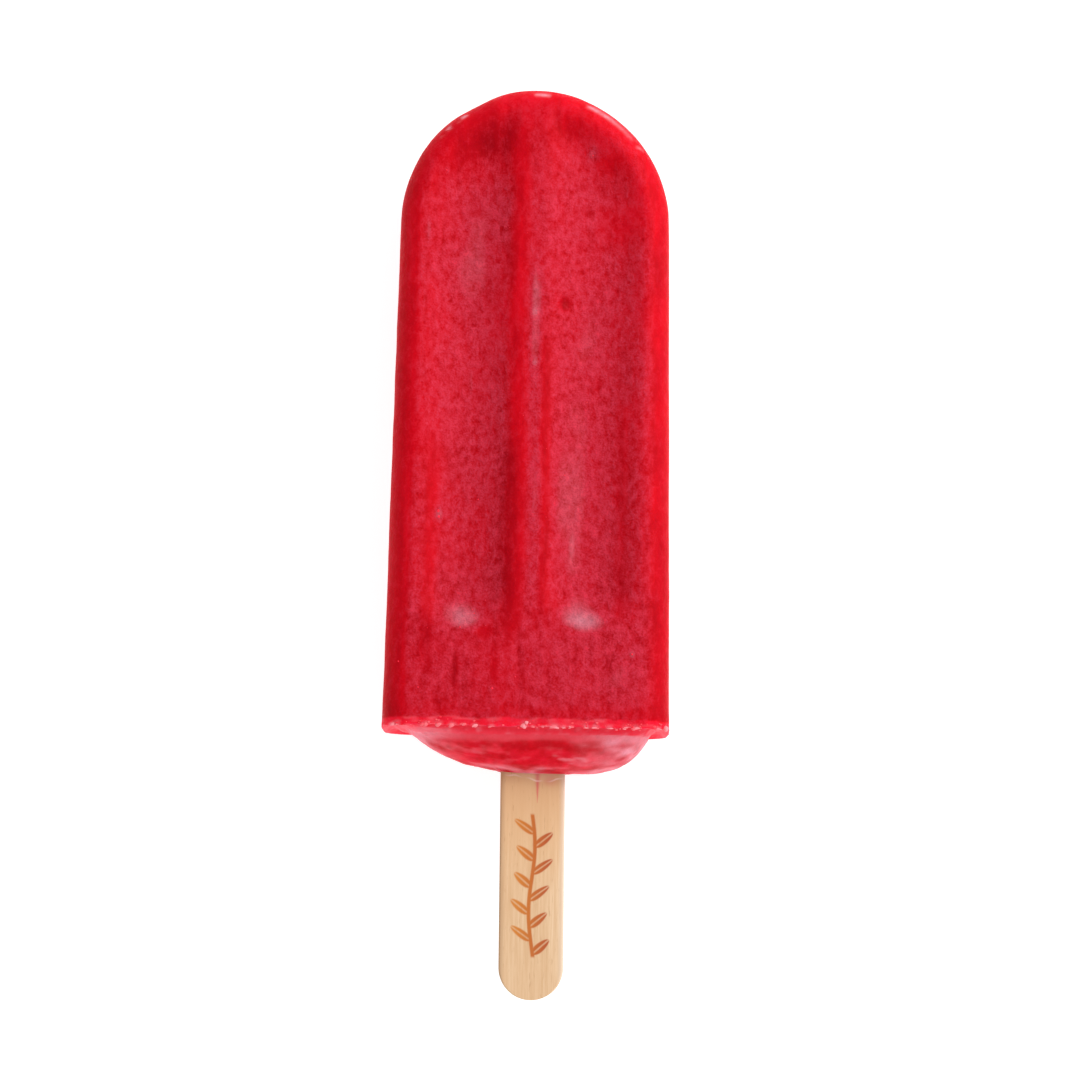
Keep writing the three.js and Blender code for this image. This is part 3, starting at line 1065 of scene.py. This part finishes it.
@dataclass
class FrostCrystals:
    """Small lumps of ice: dashes and grains along the rim, and specks on the shown face."""

    bar: FruitIceBar
    seed: int = 7
    chunks: Rows = ((-0.2, 0.1, 0.4), (0.15, 0.6, 0.3), (21.5, 0.15, 0.45))
    specks: Rows = (
        (-14.1, 33.1, 0.27), (-14.0, 32.2, 0.24), (-7.95, 35.1, 0.12), (0.42, 56.4, 0.14),
        (-10.3, 15.0, 0.14), (16.1, 11.3, 0.16), (-5.2, 5.7, 0.18), (-16.5, 5.65, 0.15),
        (8.9, 89.7, 0.17), (9.1, 90.4, 0.12), (-13.9, 86.7, 0.13), (-19.6, 9.6, 0.13),
    )
    lumps_a_dash: int = 3
    grain_count: int = 90
    fine_count: int = 40
    through: float = 0.6
    lumpiness: float = 0.3
    noise_step: float = 7.0

    def blob(self) -> tuple[Array, Array]:
        """A small sphere: an icosahedron, whose faces are each cut in four at their sides' middles.

        The icosahedron's corners are two poles and two rings of five, 1 over the root of 5 above
        and below the middle. Every corner is drawn out to 1 from the middle.

        Returns:
            The corners' places, and each triangle's corner numbers.
        """
        k = np.arange(5)
        turn = k * math.tau / 5
        ring = np.stack([np.cos(turn), np.sin(turn), np.full(5, 0.5)], axis=-1) * 2.0 / math.sqrt(5.0)
        solid = np.concatenate([[[0.0, 0.0, 1.0]], ring, -ring, [[0.0, 0.0, -1.0]]])
        upper, upper_next = 1 + k, 1 + (k + 1) % 5
        lower, lower_next = 6 + (k + 3) % 5, 6 + (k + 4) % 5
        triples = ((0 * k, upper, upper_next), (upper, lower, upper_next),
                   (upper_next, lower, lower_next), (0 * k + 11, lower_next, lower))
        a, b, c = solid[np.concatenate([np.stack(t, axis=-1) for t in triples])].transpose(1, 0, 2)
        ab, bc, ca = a + b, b + c, c + a
        cut = np.stack([a, ab, ca, ab, b, bc, ca, bc, c, ab, bc, ca], axis=1).reshape(-1, 3)
        cut /= np.linalg.norm(cut, axis=1, keepdims=True)
        points, numbers = np.unique(np.round(cut, 6) + 0.0, axis=0, return_inverse=True)
        return points, numbers.reshape(-1, 3)

    def rows(self, draw: np.random.Generator) -> Array:
        """Lay the lumps out.

        Args:
            draw: Where the random numbers come from.

        Returns:
            For each lump its x and y, its half sizes across, along and through, how pale it is,
            and its turn in radians.
        """

        def kind(x: Array, y: Array, size: Array, wide: Any, pale: Any, turn: Any = 0.0) -> Array:
            """Rows of one kind of lump, as thick as a share of their size along the face."""
            even = 0.0 * x
            return np.stack([x, y, size * wide, size, size * self.through, pale + even, turn + even], axis=-1)

        place, reach = np.repeat(np.array(self.bar.dashes), self.lumps_a_dash, axis=0).T
        count = len(place)
        leans = place < 0.5
        dashes = kind(place + draw.uniform(-0.5, 0.5, count) * reach,
                      np.where(leans, 0.05, -0.02) + draw.uniform(-0.12, 0.12, count),
                      np.where(leans, 0.42, 0.26) * reach * draw.uniform(0.6, 1.1, count),
                      np.where(leans, 1.9, 3.2), draw.uniform(0.3, 0.8, count),
                      np.where(leans, 0.6, 0.0) + draw.normal(0.0, 0.2, count))
        chunks = kind(*np.array(self.chunks).T, 0.9, 0.7)
        specks = kind(*np.array(self.specks).T, 1.0, 0.02)
        n = self.grain_count
        grains = kind(draw.uniform(-21.0, 21.0, n), draw.normal(0.35, 0.35, n), draw.uniform(0.07, 0.16, n),
                      1.4, draw.uniform(0.0, 0.3, n))
        n = self.fine_count
        fine = kind(draw.uniform(-18.0, 18.0, n), draw.uniform(4.0, 84.0, n), draw.uniform(0.05, 0.09, n),
                    1.0, draw.uniform(0.0, 0.08, n))
        return np.concatenate([dashes, chunks, specks, grains, fine])

    def build(self, place: LyingPlace) -> bpy.types.Object:
        """Join the lumps into one mesh.

        Each is a small sphere whose radius varies by noise, stretched to its three sizes, turned
        on the face, and half sunk into the ice where it sits.

        Args:
            place: Where the bar's frame lies in the model.

        Returns:
            All lumps as one mesh object.
        """
        m = self.bar.mould
        rows = self.rows(np.random.default_rng(self.seed))
        x, y = rows[:, 0], rows[:, 1]
        height = m.face_height(x, np.clip(y, 0.0, None)) - self.bar.shrink
        middle = np.stack([x, y, height], axis=-1)
        corners, faces = self.blob()
        apart = self.noise_step * np.arange(len(rows))[:, None, None]
        lumpy = 1.0 + self.lumpiness * noise(corners[None] + apart, 0.8, 91)
        points = corners[None] * lumpy[..., None] * rows[:, None, 2:5]
        c, s = np.cos(rows[:, 6:]), np.sin(rows[:, 6:])
        across, along = points[..., 0], points[..., 1]
        points[..., 0], points[..., 1] = across * c - along * s, across * s + along * c
        points = place.place(points + middle[:, None]).reshape(-1, 3)
        low, high = (np.array(corner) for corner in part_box("ice"))
        numbers = (faces[None] + len(corners) * np.arange(len(rows))[:, None, None]).reshape(-1, 3)
        shades = {"pale": np.repeat(rows[:, 5], len(corners))}
        return mesh_object("frost_crystals", np.clip(points, low, high), numbers, shades)


# ---------------------------------------------------------------- finishes


class Texture(Enum):
    """Kinds of pattern node that the finishes use."""

    NOISE = "ShaderNodeTexNoise"
    CELLS = "ShaderNodeTexVoronoi"


class Wiring:
    """A material's node tree, to which one method adds a node and another layers of colour."""

    def __init__(self, name: str) -> None:
        """Start an empty material with an output node.

        Args:
            name: The material's name.
        """
        self.material = bpy.data.materials.new(name)
        self.material.use_nodes = True
        self.tree = self.material.node_tree
        self.tree.nodes.clear()
        self.output = self.tree.nodes.new("ShaderNodeOutputMaterial")

    def add(self, kind: str, settings: dict[str, Any] | None = None, **inputs: Any) -> bpy.types.Node:
        """Add a node, set its properties, and set or link its inputs.

        Args:
            kind: The node's type.
            settings: Its properties by name.
            **inputs: Its inputs by name with underscores for spaces, or as i0, i1 and so on by
                their number. A socket is linked and anything else is set.

        Returns:
            The node.
        """
        node = self.tree.nodes.new(kind)
        for key, value in (settings or {}).items():
            setattr(node, key, value)
        for key, value in inputs.items():
            numbered = key[0] == "i" and key[1:].isdigit()
            socket = node.inputs[int(key[1:]) if numbered else key.replace("_", " ")]
            if isinstance(value, bpy.types.NodeSocket):
                self.tree.links.new(value, socket)
            else:
                socket.default_value = value
        return node

    def coats(self, lowest: str, coats: Iterable[tuple[Any, ...]]) -> bpy.types.NodeSocket:
        """Lay colours over one another, each as opaque as a number says.

        Args:
            lowest: The colour under the coats, as a hex code.
            coats: For each coat the number to go by, where it starts to show, where it shows
                most, how opaque it is there, and its colour as a hex code or a socket.

        Returns:
            The colour that they add up to.
        """
        colour: Any = linear(lowest)
        for amount, low, high, most, over in coats:
            share = self.add("ShaderNodeMapRange", Value=amount, i1=low, i2=high, i4=most).outputs[0]
            over = linear(over) if isinstance(over, str) else over
            colour = self.add("ShaderNodeMix", {"data_type": "RGBA"}, i0=share, i6=colour, i7=over).outputs[2]
        return colour

    def finish(self, shader: bpy.types.Node) -> bpy.types.Material:
        """Link the shader to the output and return the material."""
        self.tree.links.new(shader.outputs[0], self.output.inputs["Surface"])
        return self.material


def per_metre(size_mm: float) -> float:
    """Scale of a pattern node whose cells measure size_mm, on coordinates in metres."""
    return 1.0 / (size_mm * MM)


@dataclass(frozen=True)
class FrozenFruitIce:
    """Frozen fruit puree, cast in a mould and frosted by the air's damp.

    Light goes a few millimetres into it and comes back deep red, so its relief is soft in red and
    crisp in the other colours. Frost greys it towards mauve and leaves it with hardly any gloss,
    and meltwater on the tip's edge shines. The pale coat is frost and crystals, and also painted
    highlights along the meltwater.
    """

    dark: str = "8c020e"
    clear: str = "cb0619"
    bright: str = "ee1c37"
    frosted: str = "bc2a3e"
    veil: str = "c27281"
    pale: str = "ecabba"
    roughness: float = 0.5
    gloss: float = 0.03
    wisp_mm: float = 1.05
    wisp_stretch: tuple[float, float, float] = (1.05, 0.75, 1.0)
    fine_mm: float = 0.3
    pit_spacing_mm: float = 2.2
    contrast: float = 0.36
    depth_mm: float = 2.4
    depth_share: float = 0.65

    def make(self) -> bpy.types.Material:
        """Build the material.

        Returns:
            The material.
        """
        w = Wiring("frozen_fruit_ice")
        place = w.add("ShaderNodeTexCoord").outputs["Object"]
        laid, tone, pale, grit, wet = (
            w.add("ShaderNodeAttribute", {"attribute_name": name}).outputs["Fac"]
            for name in ("frost", "tone", "pale", "grit", "wet")
        )
        tall = w.add("ShaderNodeMapping", i0=place, Scale=self.wisp_stretch).outputs[0]
        wisp = w.add(Texture.NOISE.value, Vector=tall, Scale=per_metre(self.wisp_mm), Detail=4.0,
                     Roughness=0.6)
        fine = w.add(Texture.NOISE.value, Vector=place, Scale=per_metre(self.fine_mm), Detail=1.0,
                     Roughness=0.6)
        pit = w.add(Texture.CELLS.value, Vector=place, Scale=per_metre(self.pit_spacing_mm))
        # The grain is soft clumps, a fine speckle and sparse dark pits, and frost brings it out.
        grain: Any = 0.0
        for source, low, high, least, most in (
            (wisp.outputs["Fac"], 0.3, 0.7, -1.0, 1.0),
            (fine.outputs["Fac"], 0.3, 0.7, -0.5, 0.5),
            (pit.outputs["Distance"], 0.08, 0.2, -0.7, 0.0),
        ):
            part = w.add("ShaderNodeMapRange", Value=source, i1=low, i2=high, i3=least, i4=most)
            grain = w.add("ShaderNodeMath", {"operation": "ADD"}, i0=grain, i1=part.outputs[0]).outputs[0]
        clumped = w.add("ShaderNodeMapRange", Value=laid, i1=0.0, i2=0.7, i3=0.24, i4=0.62).outputs[0]
        for factor in (grit, clumped):
            grain = w.add("ShaderNodeMath", {"operation": "MULTIPLY"}, i0=grain, i1=factor).outputs[0]
        frost = w.add("ShaderNodeMath", {"operation": "ADD"}, i0=laid, i1=grain).outputs[0]
        # The pale coat also carries painted highlights where the meltwater runs.
        plain = w.coats(self.dark, (
            (tone, 0.0, 0.5, 1.0, self.clear),
            (tone, 0.5, 1.0, 1.0, self.bright),
            (frost, 0.0, 1.0, 1.0, self.frosted),
            (laid, 0.8, 1.9, 1.0, self.veil),
            (pale, 0.0, 1.0, 1.0, self.pale),
        ))
        lit = w.add("ShaderNodeMapRange", Value=grain, i1=-1.0, i2=1.0, i3=1.0 - self.contrast,
                    i4=1.0 + self.contrast).outputs[0]
        colour = w.add("ShaderNodeVectorMath", {"operation": "SCALE"}, i0=plain, Scale=lit).outputs[0]
        bump = w.add("ShaderNodeBump", Strength=0.5, Distance=0.0002, Height=grain)
        ice = w.add(
            "ShaderNodeBsdfPrincipled",
            Base_Color=colour,
            Roughness=self.roughness,
            Specular_IOR_Level=self.gloss,
            Normal=bump.outputs[0],
            Subsurface_Weight=self.depth_share,
            Subsurface_Radius=(1.0, 0.14, 0.16),
            Subsurface_Scale=self.depth_mm * MM,
            Coat_Weight=wet,
            Coat_Roughness=0.15,
            Coat_IOR=1.33,
        )
        return w.finish(ice)


@dataclass(frozen=True)
class HoarCrystal:
    """Hoar frost: water crystals that scatter pale pink where they sit on red ice."""

    red: str = "ee2038"
    pale: str = "f9a6ae"
    roughness: float = 0.45
    gloss: float = 0.12

    def make(self) -> bpy.types.Material:
        """Build the material.

        Returns:
            The material.
        """
        w = Wiring("hoar_crystal")
        pale = w.add("ShaderNodeAttribute", {"attribute_name": "pale"}).outputs["Fac"]
        ice = w.add(
            "ShaderNodeBsdfPrincipled",
            Base_Color=w.coats(self.red, [(pale, 0.0, 1.0, 1.0, self.pale)]),
            Roughness=self.roughness,
            Specular_IOR_Level=self.gloss,
        )
        return w.finish(ice)


@dataclass(frozen=True)
class SlicedBirch:
    """Birch veneer, sliced thin, stamped out and tumbled smooth, with no varnish.

    The knife leaves fine straight grain and short dark pores along the stick. The ink of the
    stamp soaks in along the grain.
    """

    wood: str = "e1c09b"
    deep: str = "ca9f73"
    damp: str = "d6a97a"
    painted_shade_edge: str = "b08a66"
    painted_light_edge: str = "e1cbb5"
    ink_light: str = "c67312"
    ink_dark: str = "a83f04"
    juice: str = "cf5a55"
    film: str = "f9e4da"
    pore: str = "a97a50"
    grain_mm: float = 0.35
    band_mm: float = 2.4
    pore_mm: float = 0.22

    def make(self) -> bpy.types.Material:
        """Build the material.

        Returns:
            The material.
        """
        w = Wiring("sliced_birch")
        place = w.add("ShaderNodeTexCoord").outputs["Object"]
        across = w.add("ShaderNodeSeparateXYZ", i0=place).outputs[0]
        ink, juice, film, damp, edge = (
            w.add("ShaderNodeAttribute", {"attribute_name": name}).outputs["Fac"]
            for name in ("ink", "juice", "film", "damp", "edge")
        )
        patterns = []
        for size_mm, drawn, detail, rough in (
            (self.grain_mm, 0.03, 4.0, 0.65),
            (self.band_mm, 0.03, 2.0, 0.5),
            (self.pore_mm, 0.12, 1.0, 0.5),
        ):
            long = w.add("ShaderNodeMapping", i0=place, Scale=(1.0, drawn, 1.0)).outputs[0]
            patterns.append(w.add(Texture.NOISE.value, Vector=long, Scale=per_metre(size_mm), Detail=detail,
                                  Roughness=rough).outputs["Fac"])
        grain, band, pore = patterns
        scorched = w.coats(self.ink_light, [(across, -0.001, 0.004, 1.0, self.ink_dark)])
        colour = w.coats(self.wood, (
            (grain, 0.35, 0.7, 0.8, self.deep),
            (band, 0.4, 0.65, 0.35, self.deep),
            (damp, 0.0, 1.0, 0.85, self.damp),
            (pore, 0.66, 0.76, 0.35, self.pore),
            # Painted shade darkens the stick's left edge and painted light brightens its right one.
            (edge, 0.5, 0.0, 0.8, self.painted_shade_edge),
            (edge, 0.5, 1.0, 0.8, self.painted_light_edge),
            (ink, 0.0, 1.0, 0.95, scorched),
            (juice, 0.0, 1.0, 0.85, self.juice),
            (film, 0.0, 1.0, 1.0, self.film),
        ))
        bump = w.add("ShaderNodeBump", Strength=0.25, Distance=0.00005, Height=grain)
        birch = w.add(
            "ShaderNodeBsdfPrincipled",
            Base_Color=colour,
            Roughness=0.62,
            IOR=1.45,
            Normal=bump.outputs[0],
        )
        return w.finish(birch)


@dataclass(frozen=True)
class LitAcrylic:
    """A light table's top: matt white acrylic, lit a little from below, so shadows stay faint."""

    colour: str = "b2b2b2"
    glow: float = 0.82

    def make(self) -> bpy.types.Material:
        """Build the material.

        Returns:
            The material.
        """
        w = Wiring("lit_acrylic")
        sheet = w.add(
            "ShaderNodeBsdfPrincipled",
            Base_Color=linear(self.colour),
            Roughness=0.9,
            Emission_Color=(1.0, 1.0, 1.0, 1.0),
            Emission_Strength=self.glow,
        )
        return w.finish(sheet)


# ---------------------------------------------------------------- studio


@dataclass(frozen=True)
class Softbox:
    """A square lamp that faces the bar.

    Attributes:
        azimuth: Where it stands round the bar, in degrees from the bar's right towards its tip.
        elevation: Its height above the floor, in degrees.
        distance: Its distance from the bar, in metres.
        side: Its width, in metres.
        power: Its power, in watts.
    """

    name: str
    azimuth: float
    elevation: float
    distance: float
    side: float
    power: float

    def hang(self) -> None:
        """Add the lamp to the scene."""
        turn, rise = math.radians(self.azimuth), math.radians(self.elevation)
        way = Vector((math.cos(rise) * math.cos(turn), math.cos(rise) * math.sin(turn), math.sin(rise)))
        light = bpy.data.lights.new(self.name, "AREA")
        light.shape = "SQUARE"
        light.size = self.side
        light.energy = self.power
        lamp = bpy.data.objects.new(self.name, light)
        lamp.location = way * self.distance
        lamp.rotation_euler = way.to_track_quat("Z", "Y").to_euler()
        bpy.context.scene.collection.objects.link(lamp)


@dataclass(frozen=True)
class Studio:
    """The floor, the lamps, the air's light and the camera."""

    floor_side: float = 6.0
    floor_gap_mm: float = 0.05
    sky: float = 0.58
    target: tuple[float, float, float] = (0.0017, 0.0005, 0.012)
    elevation: float = 84.0
    distance: float = 0.6
    lens: float = 128.0
    sensor: float = 36.0
    roll: float = 1.06
    lamps: tuple[Softbox, ...] = (
        Softbox("key", 38.0, 40.0, 0.7, 0.45, 4.9),
        Softbox("end_fill", -90.0, 14.0, 0.9, 0.6, 2.7),
    )

    def lay_floor(self) -> None:
        """Lay the sheet that the bar lies on."""
        half = self.floor_side / 2
        points = np.array([[-half, -half, 0], [half, -half, 0], [half, half, 0], [-half, half, 0]])
        points[:, 2] = -self.floor_gap_mm * MM
        floor = mesh_object("studio_floor", points, np.array([[0, 1, 2, 3]]), {})
        floor.data.materials.append(LitAcrylic().make())

    def set_sky(self) -> None:
        """Light the scene evenly from all round."""
        world = bpy.data.worlds.new("studio_air")
        world.use_nodes = True
        world.node_tree.nodes["Background"].inputs["Color"].default_value = (1.0, 1.0, 1.0, 1.0)
        world.node_tree.nodes["Background"].inputs["Strength"].default_value = self.sky
        bpy.context.scene.world = world
        bpy.context.scene.view_settings.view_transform = "Standard"

    def set_camera(self) -> None:
        """Stand the camera over the bar, leaning from the stick's end, and roll it a little."""
        rise = math.radians(self.elevation)
        back = Vector((0.0, -math.cos(rise), math.sin(rise)))
        lens = bpy.data.cameras.new("camera")
        lens.lens = self.lens
        lens.sensor_width = self.sensor
        lens.clip_start = 0.01
        camera = bpy.data.objects.new("camera", lens)
        camera.location = Vector(self.target) + back * self.distance
        level = back.to_track_quat("Z", "Y").to_matrix()
        camera.rotation_euler = (level @ Matrix.Rotation(math.radians(self.roll), 3, "Z")).to_euler()
        bpy.context.scene.collection.objects.link(camera)
        bpy.context.scene.camera = camera

    def build(self) -> None:
        """Set the floor, the light and the camera up."""
        self.lay_floor()
        self.set_sky()
        for lamp in self.lamps:
            lamp.hang()
        self.set_camera()


# ---------------------------------------------------------------- putting it together


def lying_place(bar: FruitIceBar, stick: BirchStick) -> LyingPlace:
    """Work out where the bar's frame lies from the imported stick's box.

    Args:
        bar: The bar, whose back face lies on the floor.
        stick: The stick, whose free end is the model's lowest place along Y.

    Returns:
        The place.
    """
    tilt = bar.mould.face_draft
    lift = bar.mould.rim_half_thickness * math.cos(tilt)
    flat = LyingPlace(tilt, 0.0, lift)
    lowest = flat.place(stick.into_bar(stick.sections()))[..., 1].min()
    rim_y = (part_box("stick")[0].y - lowest) / MM
    return LyingPlace(tilt, rim_y, lift)


def show(piece: bpy.types.Object, finish: Any, replaced: Iterable[str] = ()) -> None:
    """Dress a piece, let it ride on the object, and report it.

    Args:
        piece: The mesh object.
        finish: The finish that makes its material.
        replaced: The CAD nodes that it stands for.
    """
    piece.data.materials.append(finish.make())
    for node in replaced:
        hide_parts(node)
    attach(piece, "root")
    LOG.info("%s: %d faces", piece.name, len(piece.data.polygons))


def main() -> None:
    """Build the pop and its studio."""
    logging.basicConfig(level=logging.INFO, format="%(name)s: %(message)s")
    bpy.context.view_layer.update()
    bar, stick = FruitIceBar(), BirchStick()
    place = lying_place(bar, stick)
    show(bar.build(place), FrozenFruitIce(), ["ice"])
    show(stick.build(place), SlicedBirch(), ["stick"])
    show(FrostCrystals(bar).build(place), HoarCrystal())
    Studio().build()


if __name__ == "__main__":
    main()
